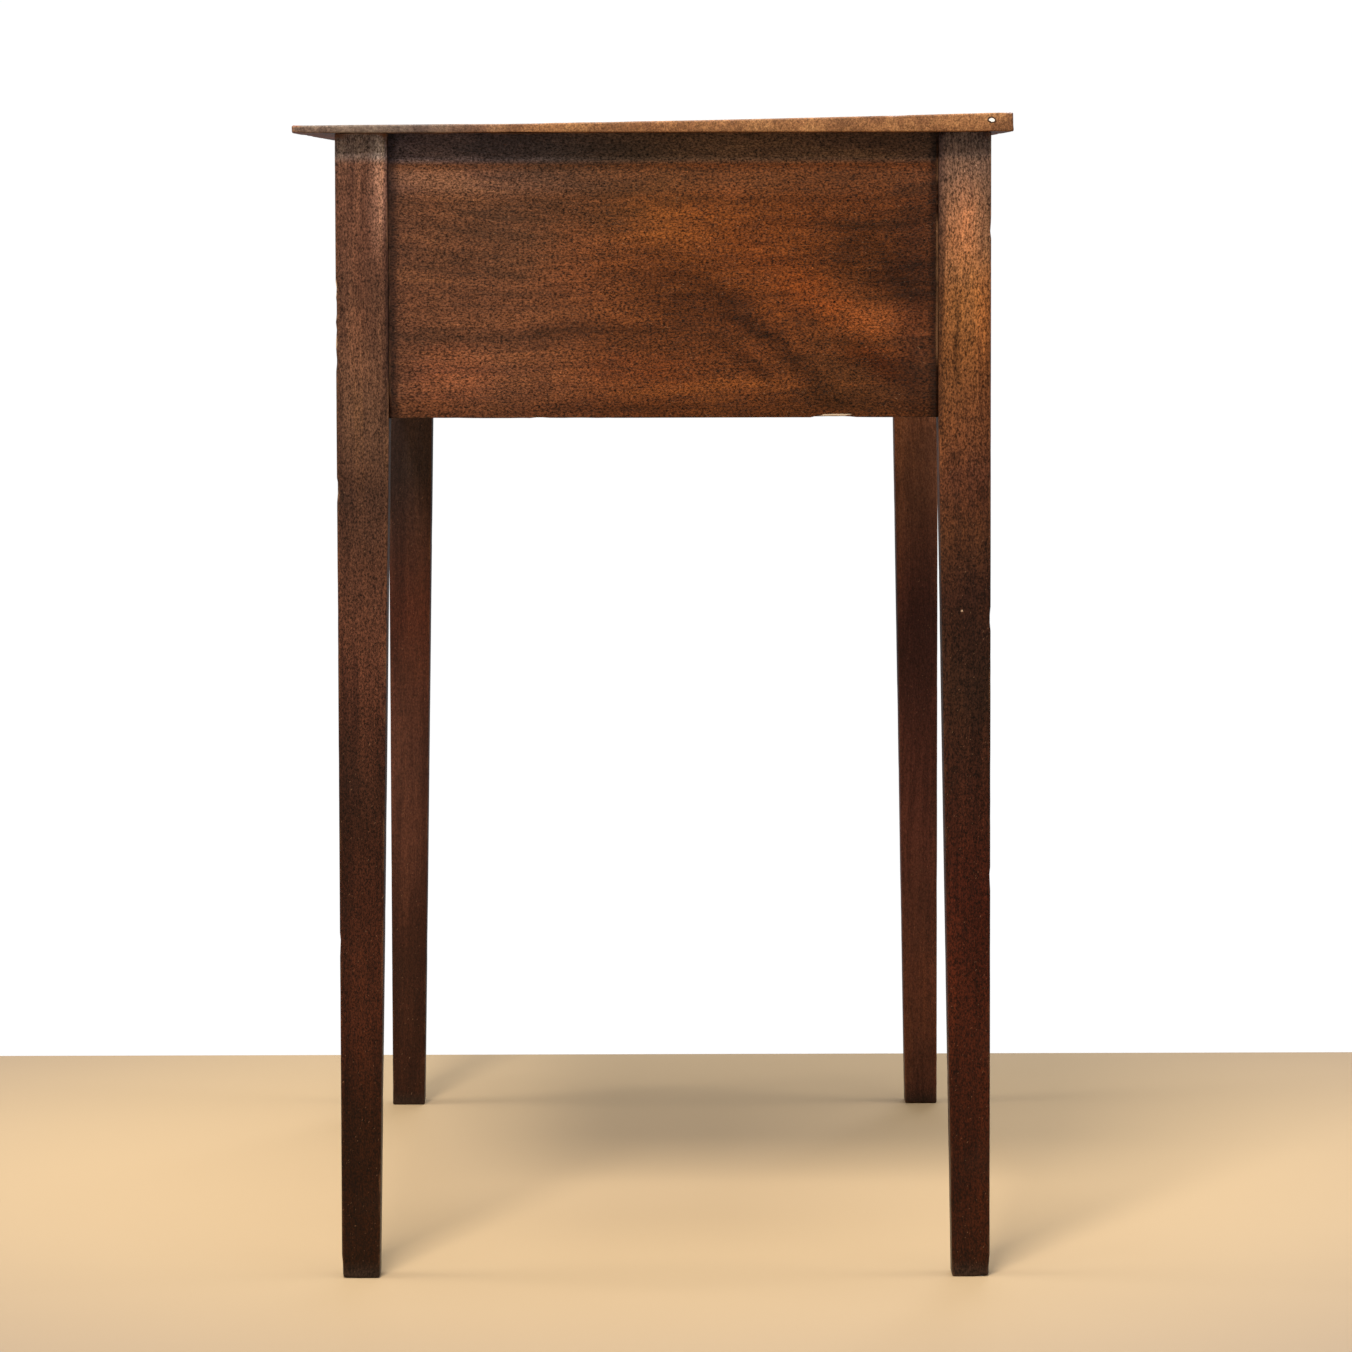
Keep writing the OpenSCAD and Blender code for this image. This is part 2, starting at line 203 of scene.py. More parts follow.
# ------------------------------------------------------------------ material helpers
class Net:
    """A short way to write a material's nodes."""

    def __init__(self, name):
        self.m = bpy.data.materials.new(name)
        self.m.use_nodes = True
        self.t = self.m.node_tree
        self.t.nodes.clear()
        self.out = self.t.nodes.new("ShaderNodeOutputMaterial")
        self.bsdf = self.t.nodes.new("ShaderNodeBsdfPrincipled")
        self.t.links.new(self.bsdf.outputs[0], self.out.inputs[0])
        self.co = self.t.nodes.new("ShaderNodeTexCoord").outputs["Object"]
        sep = self.t.nodes.new("ShaderNodeSeparateXYZ")
        self.link(self.co, sep.inputs[0])
        self.x, self.y, self.z = sep.outputs

    def link(self, a, b):
        if hasattr(a, "links") or isinstance(a, bpy.types.NodeSocket):
            self.t.links.new(a, b)
        else:
            b.default_value = a

    def math(self, op, a, b=0.0, c=0.0, clamp=False):
        n = self.t.nodes.new("ShaderNodeMath")
        n.operation = op
        n.use_clamp = clamp
        for i, v in enumerate((a, b, c)):
            self.link(v, n.inputs[i])
        return n.outputs[0]

    def add(self, a, b):
        return self.math("ADD", a, b)

    def mul(self, a, b):
        return self.math("MULTIPLY", a, b)

    def mapped(self, scale=(1, 1, 1), loc=(0, 0, 0), rot=(0, 0, 0), vec=None):
        n = self.t.nodes.new("ShaderNodeMapping")
        self.link(vec if vec is not None else self.co, n.inputs["Vector"])
        n.inputs["Location"].default_value = loc
        n.inputs["Rotation"].default_value = rot
        n.inputs["Scale"].default_value = scale
        return n.outputs[0]

    def noise(self, vec, scale=1.0, detail=2.0, rough=0.5, distort=0.0, colour=False):
        n = self.t.nodes.new("ShaderNodeTexNoise")
        self.link(vec, n.inputs["Vector"])
        n.inputs["Scale"].default_value = scale
        n.inputs["Detail"].default_value = detail
        n.inputs["Roughness"].default_value = rough
        n.inputs["Distortion"].default_value = distort
        return n.outputs[1 if colour else 0]

    def ramp(self, fac, stops, smooth=True):
        n = self.t.nodes.new("ShaderNodeValToRGB")
        n.color_ramp.interpolation = "EASE" if smooth else "LINEAR"
        el = n.color_ramp.elements
        while len(el) > 1:
            el.remove(el[-1])
        el[0].position, el[0].color = stops[0][0], (*stops[0][1], 1)
        for p, c in stops[1:]:
            e = el.new(p)
            e.color = (*c, 1)
        self.link(fac, n.inputs[0])
        return n.outputs[0]

    def step(self, v, lo, hi, a=0.0, b=1.0):
        n = self.t.nodes.new("ShaderNodeMapRange")
        n.interpolation_type = "SMOOTHSTEP"
        self.link(v, n.inputs["Value"])
        n.inputs["From Min"].default_value = lo
        n.inputs["From Max"].default_value = hi
        n.inputs["To Min"].default_value = a
        n.inputs["To Max"].default_value = b
        return n.outputs[0]

    def mix(self, fac, a, b, mode="MIX"):
        n = self.t.nodes.new("ShaderNodeMix")
        n.data_type = "RGBA"
        n.blend_type = mode
        self.link(fac, n.inputs[0])
        for v, s in ((a, n.inputs[6]), (b, n.inputs[7])):
            if isinstance(v, tuple):
                s.default_value = (*v, 1) if len(v) == 3 else v
            else:
                self.link(v, s)
        return n.outputs[2]

    def warp(self, amount, scale, vec=None):
        """The coordinates, pushed about by a slow noise."""
        vec = vec if vec is not None else self.co
        c = self.noise(vec, scale, 2.0, 0.5, colour=True)
        n = self.t.nodes.new("ShaderNodeVectorMath")
        n.operation = "MULTIPLY_ADD"
        self.link(c, n.inputs[0])
        n.inputs[1].default_value = (amount,) * 3
        self.link(vec, n.inputs[2])
        return n.outputs[0]

    def blob(self, centre, radii, turn=0.0, axis="X", vec=None, power=1.0):
        """1 at the centre, 0 outside an ellipse. centre and radii are in metres; the ellipse is turned about the axis."""
        r = {"X": (turn, 0, 0), "Y": (0, turn, 0), "Z": (0, 0, turn)}[axis]
        n = self.t.nodes.new("ShaderNodeMapping")
        n.vector_type = "TEXTURE"
        self.link(vec if vec is not None else self.co, n.inputs["Vector"])
        n.inputs["Location"].default_value = centre
        n.inputs["Rotation"].default_value = r
        n.inputs["Scale"].default_value = radii
        g = self.t.nodes.new("ShaderNodeTexGradient")
        g.gradient_type = "SPHERICAL"
        self.link(n.outputs[0], g.inputs[0])
        v = self.step(g.outputs[1], 0.0, 1.0)
        return v if power == 1.0 else self.math("POWER", v, power)

    def bump(self, height, strength, distance, normal=None):
        n = self.t.nodes.new("ShaderNodeBump")
        n.inputs["Strength"].default_value = strength
        n.inputs["Distance"].default_value = distance
        self.link(height, n.inputs["Height"])
        if normal is not None:
            self.link(normal, n.inputs["Normal"])
        return n.outputs[0]

    def arris(self, radius, samples=4):
        """1 on a sharp or rounded edge, 0 on a flat."""
        b = self.t.nodes.new("ShaderNodeBevel")
        b.samples = samples
        b.inputs["Radius"].default_value = radius
        g = self.t.nodes.new("ShaderNodeNewGeometry")
        d = self.t.nodes.new("ShaderNodeVectorMath")
        d.operation = "DOT_PRODUCT"
        self.link(b.outputs[0], d.inputs[0])
        self.link(g.outputs["True Normal"], d.inputs[1])
        return self.step(d.outputs["Value"], 0.99, 0.86)

    def finish(self, colour, rough, normal, coat=0.0, coat_rough=0.2, specular=0.5, metallic=0.0, amber=False):
        b = self.bsdf.inputs
        self.link(colour, b["Base Color"])
        self.link(rough, b["Roughness"])
        if normal is not None:
            self.link(normal, b["Normal"])
        b["Coat Weight"].default_value = coat
        b["Coat Roughness"].default_value = coat_rough
        b["Specular IOR Level"].default_value = specular
        b["Metallic"].default_value = metallic
        if amber:
            # old shellac: the shine has the colour of the varnish
            b["Specular Tint"].default_value = (1.0, 0.88, 0.74, 1)
        return self.m


def lin(r, g, b):
    """An sRGB colour, 0 to 255, as linear values."""
    f = lambda c: c / 12.92 if c <= 0.04045 else ((c + 0.055) / 1.055) ** 2.4
    return tuple(f(c / 255) for c in (r, g, b))


# The stretch of a grain pattern: fast across the grain, slow along it.
def stretch(axis, across, along):
    return tuple(along if a == axis else across for a in "XYZ")


PALETTE = {
    # dark to light, for polished mahogany
    "rail": [(0.20, lin(52, 29, 14)), (0.38, lin(77, 44, 21)), (0.52, lin(96, 54, 26)), (0.66, lin(115, 66, 31)), (0.82, lin(130, 78, 37))],
    "leg": [(0.20, lin(59, 36, 27)), (0.40, lin(90, 58, 44)), (0.55, lin(112, 74, 55)), (0.72, lin(132, 87, 61)), (0.85, lin(147, 99, 68))],
    "top": [(0.20, lin(82, 45, 28)), (0.40, lin(110, 62, 37)), (0.55, lin(130, 76, 45)), (0.70, lin(148, 90, 54)), (0.85, lin(160, 101, 62))],
}


def mahogany(name, axis="Y", palette="rail", seed=0.0, figure=0.0, blobs=(), tints=(), foot=False, gloss=0.0, wear=0.5, raw=0.0, edge_tint=None, contrast=0.5, chips=(), run=(), speckle=0.55):
    """Polished mahogany. axis is the grain's direction. blobs are (centre, radii, turn, axis, factor) that darken below 1 and lighten above it."""
    n = Net(name)
    off = (seed * 1.37, seed * 2.11, seed * 0.73)
    base = n.mapped(loc=off)
    # the figure bends the grain in slow sweeps
    bent = n.warp(0.02 + 0.05 * figure, 4.0, base)
    bent = n.warp(0.0012, 45.0, bent)
    broad = n.noise(n.mapped(stretch(axis, 15, 5), vec=bent), 1.0, 3.0, 0.5)
    ribbon = n.noise(n.mapped(stretch(axis, 75, 4.5), vec=bent), 1.0, 3.0, 0.55)
    fibre = n.noise(n.mapped(stretch(axis, 480, 12), vec=bent), 1.0, 3.0, 0.6)
    pore = n.noise(n.mapped(stretch(axis, 2100, 120), vec=bent), 1.0, 1.0, 0.5)
    speck = n.noise(n.mapped(stretch(axis, 900, 500), vec=base), 1.0, 2.0, 0.6)
    tone = n.add(n.mul(broad, 0.36), n.add(n.mul(ribbon, 0.32), n.add(n.mul(fibre, 0.20), n.mul(speck, 0.12))))
    # noise sits close to the middle, so its range is opened up
    tone = n.step(tone, 0.36, 0.64)
    tone = n.add(n.mul(tone, contrast), 0.52 - contrast / 2)
    colour = n.ramp(tone, PALETTE[palette])
    # slow change of hue, redder here and yellower there
    hue = n.step(n.noise(base, 7.0, 2.0), 0.35, 0.65)
    colour = n.mix(n.mul(hue, 0.45), colour, n.mix(1.0, colour, (1.10, 0.88, 0.80), "MULTIPLY"))
    soft = n.warp(0.010, 26.0, n.warp(0.002, 130.0)) if blobs else None
    if blobs:
        streak = n.step(n.noise(n.mapped(stretch(axis, 120, 45), vec=base), 1.0, 4.0, 0.65), 0.30, 0.66, 0.62, 1.10)
        # the warp's noise is centred on one half, so the pattern is moved back by that much
        soft = n.mapped(loc=(-0.0060,) * 3, vec=soft)
    for c, r, turn, ax, k in blobs:
        w = n.mul(n.blob(c, r, turn, ax, soft), streak)
        if isinstance(k, tuple):
            colour = n.mix(w, colour, n.mix(1.0, colour, k, "MULTIPLY"))
        else:
            colour = n.mix(w, colour, n.mix(1.0, colour, (k, k, k), "MULTIPLY"))
    for w, k in (t(n) for t in tints):
        colour = n.mix(w, colour, n.mix(1.0, colour, k, "MULTIPLY"))
    if run:
        # how light the leg is along its height, from the floor up: partly the wood's own tone, partly painted shade
        # where it is darker low down
        k = n.ramp(n.math("DIVIDE", n.add(n.z, n.mul(n.add(n.noise(base, 16.0, 2.0), -0.5), 0.05)), 0.72), [(z / 0.72, (v, v * g, v * b)) for z, v, g, b in run], smooth=False)
        colour = n.mix(1.0, colour, n.mix(1.0, (0.5, 0.5, 0.5), k, "MULTIPLY"), "MULTIPLY")
        colour = n.mix(1.0, colour, (2.0, 2.0, 2.0), "MULTIPLY")
    if foot:
        # the legs darken towards the floor: partly polish and dust, partly painted shade, as less light reaches low
        # down
        wob = n.mul(n.noise(base, 11.0, 3.0), 0.10)
        low = n.step(n.add(n.z, wob), 0.60, 0.40, 0.0, 1.0)
        colour = n.mix(low, colour, n.mix(1.0, colour, (0.55, 0.42, 0.42), "MULTIPLY"))
        low = n.step(n.add(n.z, wob), 0.42, 0.10, 0.0, 1.0)
        colour = n.mix(low, colour, n.mix(1.0, colour, (0.66, 0.58, 0.50), "MULTIPLY"))
        end = n.step(n.z, 0.012, 0.0)
        colour = n.mix(n.mul(end, 0.7), colour, lin(60, 44, 34))
    # open grain: fine dark and light specks all over
    grit = n.noise(n.mapped(stretch(axis, 980, 600), vec=base), 1.0, 2.0, 0.75)
    mid = n.noise(n.mapped(stretch(axis, 420, 260), vec=base), 1.0, 2.0, 0.6)
    grit = n.add(n.mul(n.step(grit, 0.34, 0.66), 1.10 * speckle), n.add(n.mul(n.step(mid, 0.32, 0.68), 0.36 * speckle), 1.0 - 0.73 * speckle))
    colour = n.mix(1.0, colour, grit, "MULTIPLY")
    dot = n.step(n.noise(n.mapped(stretch(axis, 1000, 860), vec=base), 1.0, 0.0), 0.79, 0.85)
    colour = n.mix(n.mul(dot, 0.60), colour, n.mix(1.0, colour, (2.3, 2.4, 2.5), "MULTIPLY"))
    dash = n.step(pore, 0.56, 0.66)
    colour = n.mix(n.mul(dash, 0.42), colour, n.mix(1.0, colour, (0.34, 0.28, 0.26), "MULTIPLY"))
    # painted shade where the ambient occlusion finds corners and joints, under the top and beside the legs, and with it
    # old wax and dust out of reach of the cloth
    ao = n.t.nodes.new("ShaderNodeAmbientOcclusion")
    ao.samples = 8
    ao.inputs["Distance"].default_value = 0.022
    ao = n.step(ao.outputs["AO"], 0.97, 0.50)
    colour = n.mix(n.mul(ao, 0.75), colour, n.mix(1.0, colour, (0.56, 0.62, 0.74), "MULTIPLY"))
    # grime in patches, and rubbed, paler arrises
    patch = n.step(n.noise(base, 23.0, 4.0, 0.6), 0.52, 0.72)
    colour = n.mix(n.mul(patch, 0.22), colour, lin(44, 28, 20))
    if raw:
        dull = n.noise(n.mapped(stretch(axis, 60, 8), vec=base), 1.0, 2.0)
        colour = n.mix(raw, colour, n.ramp(dull, [(0.3, lin(104, 72, 52)), (0.7, lin(136, 98, 70))]))
    edge = n.arris(0.0016)
    rub = n.step(n.noise(base, 34.0, 3.0, 0.6), 0.46, 0.64)
    colour = n.mix(n.mul(n.mul(edge, rub), wear), colour, edge_tint or lin(168, 120, 84))
    # a few fine scratches, slanting across the grain
    scr = n.noise(n.mapped(stretch(axis, 1500, 42), vec=n.mapped(rot=(0.55, 0.35, 0.30), vec=n.warp(0.004, 20.0, base))), 1.0, 0.0)
    scratch = n.mul(n.step(scr, 0.805, 0.84), 0.30)
    colour = n.mix(scratch, colour, lin(170, 126, 92))
    for c, r, turn, tint, dark in chips:
        w = n.warp(0.0012, 420.0)
        w = n.mapped(loc=(-0.0006,) * 3, vec=w)
        r = (0.0045, r[1], r[2])
        if dark:
            colour = n.mix(n.math("MULTIPLY", n.step(n.blob(c, tuple(1.6 * v for v in r), turn, "X", w), 0.05, 0.2), 0.85), colour, lin(48, 30, 20))
        colour = n.mix(n.step(n.blob(c, r, turn, "X", w), 0.10, 0.35), colour, lin(*tint))
    rough = n.add(n.mul(n.noise(base, 18.0, 4.0, 0.6), 0.22), 0.30 + 0.2 * raw - 0.10 * gloss)
    rough = n.add(rough, n.mul(dash, 0.15))
    h = n.add(n.mul(fibre, 0.5), n.mul(dash, -0.8))
    nrm = n.bump(h, 0.35, 0.00018)
    nrm = n.bump(n.noise(base, 60.0, 2.0), 0.25, 0.0006, nrm)
    return n.finish(colour, rough, nrm, coat=0.04 * (1 - raw), coat_rough=0.25, specular=0.16, amber=True)


def old_pine(name, axis, seed=0.0, dark=0.0, across="Z", width=34):
    """Unpolished softwood, browned by age."""
    n = Net(name)
    base = n.mapped(loc=(seed * 1.9, seed * 1.1, seed * 2.3))
    bent = n.warp(0.035, 3.5, base)
    bent = n.warp(0.006, 19.0, bent)
    ring = n.t.nodes.new("ShaderNodeTexWave")
    ring.wave_type, ring.bands_direction = "BANDS", across
    ring.wave_profile = "SAW"
    ring.inputs["Scale"].default_value = 1.0
    ring.inputs["Distortion"].default_value = 5.0
    ring.inputs["Detail"].default_value = 2.0
    ring.inputs["Detail Scale"].default_value = 0.7
    n.link(n.mapped(stretch(axis, width, width / 15), vec=bent), ring.inputs["Vector"])
    fibre = n.noise(n.mapped(stretch(axis, 500, 16), vec=bent), 1.0, 3.0, 0.6)
    slow = n.noise(n.mapped(stretch(axis, 24, 3), vec=base), 1.0, 3.0, 0.55)
    # the dark lines are stronger in some places and almost gone in others
    line = n.mul(ring.outputs[1], n.step(slow, 0.30, 0.70, 0.35, 1.0))
    tone = n.add(n.mul(line, 0.50), n.add(n.mul(fibre, 0.30), n.mul(slow, 0.20)))
    colour = n.ramp(tone, [(0.18, lin(168, 128, 84)), (0.42, lin(158, 116, 73)), (0.58, lin(146, 104, 63)), (0.80, lin(124, 84, 49))])
    stain = n.step(n.noise(base, 9.0, 4.0, 0.6), 0.42, 0.72)
    colour = n.mix(n.mul(stain, 0.45), colour, n.mix(1.0, colour, (0.62, 0.55, 0.50), "MULTIPLY"))
    if dark:
        colour = n.mix(dark, colour, n.mix(1.0, colour, (0.45, 0.38, 0.34), "MULTIPLY"))
    edge = n.arris(0.0014)
    rub = n.step(n.noise(base, 40.0, 3.0), 0.4, 0.6)
    colour = n.mix(n.mul(n.mul(edge, rub), 0.35), colour, lin(96, 66, 44))
    rough = n.add(n.mul(n.noise(base, 30.0, 3.0), 0.2), 0.62)
    nrm = n.bump(n.add(fibre, n.mul(line, 0.12)), 0.4, 0.00025)
    nrm = n.bump(n.noise(base, 50.0, 2.0), 0.3, 0.0006, nrm)
    return n.finish(colour, rough, nrm, specular=0.3)


def aged_brass(name, seed=0.0):
    n = Net(name)
    base = n.mapped(loc=(seed, seed * 2, seed * 3))
    mott = n.noise(base, 160.0, 5.0, 0.62)
    fine = n.noise(base, 900.0, 3.0, 0.6)
    colour = n.ramp(mott, [(0.3, lin(146, 112, 58)), (0.5, lin(186, 148, 84)), (0.7, lin(206, 172, 108))])
    tarnish = n.step(n.noise(base, 75.0, 4.0, 0.65), 0.45, 0.72)
    colour = n.mix(n.mul(tarnish, 0.7), colour, lin(88, 66, 36))
    ao = n.t.nodes.new("ShaderNodeAmbientOcclusion")
    ao.samples = 6
    ao.inputs["Distance"].default_value = 0.006
    shade = n.step(ao.outputs["AO"], 0.75, 0.35)
    colour = n.mix(n.mul(shade, 0.75), colour, lin(58, 42, 24))
    edge = n.arris(0.0006)
    colour = n.mix(n.mul(edge, 0.8), colour, lin(226, 196, 132))
    rough = n.add(n.mul(fine, 0.16), n.add(n.mul(tarnish, 0.22), 0.22))
    scr = n.step(n.noise(n.mapped((2600, 160, 700), vec=n.warp(0.01, 30.0, base)), 1.0, 1.0), 0.62, 0.66)
    nrm = n.bump(n.add(n.mul(fine, 0.4), n.mul(scr, -0.4)), 0.3, 0.00012)
    return n.finish(colour, rough, nrm, specular=0.5, metallic=1.0)


def old_iron(name):
    n = Net(name)
    r = n.noise(n.co, 600.0, 4.0, 0.6)
    colour = n.ramp(r, [(0.3, lin(46, 40, 38)), (0.55, lin(70, 58, 50)), (0.75, lin(112, 72, 46))])
    return n.finish(colour, n.add(n.mul(r, 0.3), 0.5), n.bump(r, 0.5, 0.0002), metallic=0.7)


# ------------------------------------------------------------------ wood pieces
def near(a, b, tol=0.2 * MM):
    return abs(a - b) < tol


def hash01(*v):
    return noise.noise(Vector(v) * 7.31 + Vector((3.1, 1.7, 9.2))) * 0.5 + 0.5


def worked(node, material, pick, width=1.0, cuts=(10, 10, 10), wave=0.10, wear=0.35, dents=(), name=None):
    """A worked wooden piece in place of a CAD node: arrises rounded over, faces very slightly uneven, edges worn.
    pick(a, b) says which edges are rounded; cuts are the spacing of the mesh in millimetres; dents are (point, radius, depth)."""
    src = NODES[node]
    bm = bmesh.new()
    bm.from_mesh(src.data)
    bmesh.ops.remove_doubles(bm, verts=bm.verts, dist=1e-6)
    bmesh.ops.dissolve_limit(bm, angle_limit=math.radians(0.08), verts=bm.verts, edges=bm.edges)
    bm.normal_update()
    layer = bm.verts.layers.float.new("arris")
    chosen = [
        e for e in bm.edges
        if len(e.link_faces) == 2 and e.is_convex and e.calc_face_angle(0) > 0.3 and pick(e.verts[0].co, e.verts[1].co)
    ]
    if chosen:
        made = bmesh.ops.bevel(
            bm, geom=chosen, offset=width * MM, offset_type="OFFSET", segments=3, profile=0.5,
            affect="EDGES", clamp_overlap=True, loop_slide=True,
        )
        for v in made["verts"]:
            v[layer] = 1.0
    lo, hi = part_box(node)
    for axis, step in enumerate(cuts):
        if not step:
            continue
        count = int((hi[axis] - lo[axis]) / (step * MM))
        for i in range(1, count):
            p = Vector((0, 0, 0))
            p[axis] = lo[axis] + (hi[axis] - lo[axis]) * i / count
            nrm = Vector((0, 0, 0))
            nrm[axis] = 1
            bmesh.ops.bisect_plane(bm, geom=bm.verts[:] + bm.edges[:] + bm.faces[:], dist=1e-6, plane_co=p, plane_no=nrm)
    bm.normal_update()
    moves = []
    s = sum(map(ord, node)) * 0.013
    for v in bm.verts:
        p = v.co
        d = 0.0
        # hand-planed faces: never out past the true face
        d += wave * MM * (0.5 + 0.5 * noise.noise(p * 14 + Vector((s, 0, 0))))
        if v[layer] > 0.5:
            k = noise.noise(p * 22 + Vector((0, s, 3))) + 0.4 * noise.noise(p * 120 + Vector((s, 5, 0)))
            d += wear * MM * max(0.0, k - 0.10) * 0.8
        for c, r, depth in dents:
            q = (p - Vector(c)).length / r
            if q < 1:
                d += depth * MM * (1 - q * q) ** 2 * (0.6 + 0.8 * hash01(p.x * 90, p.y * 90, p.z * 90))
        moves.append(d)
    normals = [v.normal.copy() for v in bm.verts]
    for v, nv, d in zip(bm.verts, normals, moves):
        v.co -= nv * d
    bmesh.ops.triangulate(bm, faces=[f for f in bm.faces if len(f.verts) > 4])
    bm.normal_update()
    me = bpy.data.meshes.new(name or node + "_wood")
    bm.to_mesh(me)
    bm.free()
    me.polygons.foreach_set("use_smooth", [True] * len(me.polygons))
    me.set_sharp_from_angle(angle=math.radians(32))
    o = bpy.data.objects.new(name or node + "_wood", me)
    scene.collection.objects.link(o)
    me.materials.append(material)
    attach(o, src["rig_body"])
    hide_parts(node)
    return o


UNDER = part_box("side_rail_right")[1].z            # underside of the top
RAIL_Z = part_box("side_rail_right")[0].z           # lower edge of the rails
LEG_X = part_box("leg_front_right")[1].x            # outer face of the legs


def leg_edges(node):
    lo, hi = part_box(node)
    outx = hi.x if hi.x > 0 else lo.x
    sx = -1 if hi.x > 0 else 1
    front = lo.y < 0
    outy = lo.y if front else hi.y
    sy = 1 if front else -1
    top, foot = hi.x - lo.x, 23.5 * MM

    def size(z):
        return top if z >= RAIL_Z else foot + (top - foot) * z / RAIL_Z

    def on(p):
        t = size(p.z)
        return (near(p.x, outx) or near(p.x, outx + sx * t)) and (near(p.y, outy) or near(p.y, outy + sy * t))

    def pick(a, b):
        return on(a) and on(b) and not (near(a.z, UNDER) and near(b.z, UNDER))

    return pick


def long_edges(axis, low=None, at_least=100):
    """Edges that run along an axis, only those at height low where it is given."""
    def pick(a, b):
        d = b - a
        if abs(d[axis]) < at_least * MM or d.length - abs(d[axis]) > 1e-5:
            return False
        return low is None or near(a.z, low)
    return pick


def everything(a, b):
    return True


# ---- features of the visible side, with painted shade and painted light on it
RX = 0.3775
left_grey = lambda n: (n.step(n.y, 0.010, -0.110), (0.93, 1.18, 1.95))
# painted shade on the rail beside the legs: a dark band at each joint and a broader, fainter darkening near them
painted_shade_by_legs = lambda n: (n.step(n.math("ABSOLUTE", n.add(n.y, -0.0065)), 0.1612, 0.1666), (0.36, 0.36, 0.42))
painted_shade_near_legs = lambda n: (n.step(n.math("ABSOLUTE", n.add(n.y, -0.0070)), 0.135, 0.166), (0.84, 0.86, 0.96))
# painted shadow: the band in the top's shadow on the rail is tinted greyer and lighter
painted_shadow_tint_rail = lambda n: (n.step(n.z, 0.6895, 0.6945), (1.24, 2.35, 5.0))
# painted light: a paler, greyer strip just below the edge of the top's shadow on the rail
painted_light_under_shadow = lambda n: (n.mul(n.step(n.z, 0.668, 0.678), n.step(n.z, 0.690, 0.684)), (1.11, 1.26, 1.58))
low_dark = lambda n: (n.step(n.add(n.z, n.mul(n.noise(n.co, 14.0, 2.0), 0.012)), 0.562, 0.546), (0.70, 0.66, 0.64))
rail_blobs = [
    ((RX, 0.0160, 0.6530), (1, 0.062, 0.034), -0.10, "X", (1.42, 1.40, 1.12)),
    ((RX, -0.0500, 0.6350), (1, 0.075, 0.040), 0.0, "X", (1.15, 1.10, 1.02)),
    ((RX, 0.1050, 0.6050), (1, 0.070, 0.020), -0.62, "X", (1.35, 1.20, 1.00)),
    ((RX, 0.1330, 0.5980), (1, 0.056, 0.020), -0.30, "X", (1.95, 1.95, 1.95)),
    ((RX, 0.0170, 0.6125), (1, 0.070, 0.040), -0.15, "X", 0.42),
    ((RX, 0.0480, 0.6030), (1, 0.040, 0.016), -0.55, "X", 0.50),
    ((RX, 0.1420, 0.6310), (1, 0.075, 0.046), -0.35, "X", 0.40),
    ((RX, 0.1250, 0.6520), (1, 0.090, 0.075), -0.50, "X", (0.84, 0.82, 0.84)),
    ((RX, 0.1600, 0.6000), (1, 0.022, 0.120), 0.0, "X", (0.62, 0.62, 0.80)),
    ((RX, 0.1400, 0.5670), (1, 0.046, 0.0160), -0.40, "X", (0.60, 0.42, 0.26)),
    ((RX, 0.0800, 0.5750), (1, 0.064, 0.0110), -0.76, "X", 0.42),
    ((RX, 0.0600, 0.5680), (1, 0.036, 0.0085), -0.62, "X", 0.55),
    ((RX, 0.0350, 0.6530), (1, 0.016, 0.0030), -0.60, "X", 0.66),
    ((RX, -0.0420, 0.5885), (1, 0.080, 0.0075), 0.02, "X", 0.62),
    ((RX, -0.1240, 0.5600), (1, 0.044, 0.030), 0.0, "X", (1.30, 1.12, 1.10)),
    ((RX, -0.0080, 0.5640), (1, 0.055, 0.016), 0.0, "X", (1.22, 1.10, 1.02)),
    ((RX, 0.0480, 0.6740), (1, 0.020, 0.0080), 0.0, "X", (1.30, 1.25, 1.25)),
    ((RX, -0.0900, 0.5300), (1, 0.250, 0.0080), 0.0, "X", 0.80),
    ((RX, 0.0850, 0.6200), (1, 0.120, 0.100), 0.0, "X", (0.84, 0.76, 0.60)),
    ((RX, 0.0300, 0.5600), (1, 0.160, 0.040), 0.0, "X", (0.86, 0.82, 0.80)),
]
# painted shade: the legs' inner edges are darker where they meet the rail
painted_shade_inner_fr = lambda n: (n.mul(n.step(n.y, -0.1680, -0.1627), n.step(n.z, 0.520, 0.535)), (0.40, 0.40, 0.48))
painted_shade_inner_br = lambda n: (n.mul(n.step(n.y, 0.1810, 0.1758), n.step(n.z, 0.520, 0.535)), (0.40, 0.40, 0.48))
# painted shadow: the legs' outward faces are tinted lighter and greyer in the top's shadow
painted_shadow_tint_fr = lambda n: (n.mul(n.step(n.x, 0.3796, 0.3804), n.step(n.z, 0.690, 0.700)), (2.2, 3.8, 5.4))
painted_shadow_tint_br = lambda n: (n.mul(n.step(n.x, 0.3796, 0.3804), n.step(n.z, 0.690, 0.704)), (1.45, 1.90, 2.45))
leg_back_blobs = [
    ((LEG_X, 0.192, 0.655), (1, 0.018, 0.040), 0.0, "X", (1.75, 1.45, 1.25)),
    ((LEG_X, 0.203, 0.600), (1, 0.010, 0.050), 0.0, "X", (1.45, 1.30, 1.15)),
    ((LEG_X, 0.186, 0.585), (1, 0.0035, 0.050), 0.03, "X", 0.50),
    ((LEG_X, 0.185, 0.511), (1, 0.0050, 0.006), 0.0, "X", 0.40),
    ((LEG_X, 0.202, 0.489), (1, 0.0050, 0.008), 0.3, "X", 0.40),
]
leg_front_blobs = [
    ((LEG_X, -0.168, 0.672), (1, 0.010, 0.050), 0.0, "X", (2.6, 3.1, 3.4)),
    ((LEG_X, -0.180, 0.600), (1, 0.012, 0.060), 0.0, "X", (1.18, 1.10, 1.05)),
]

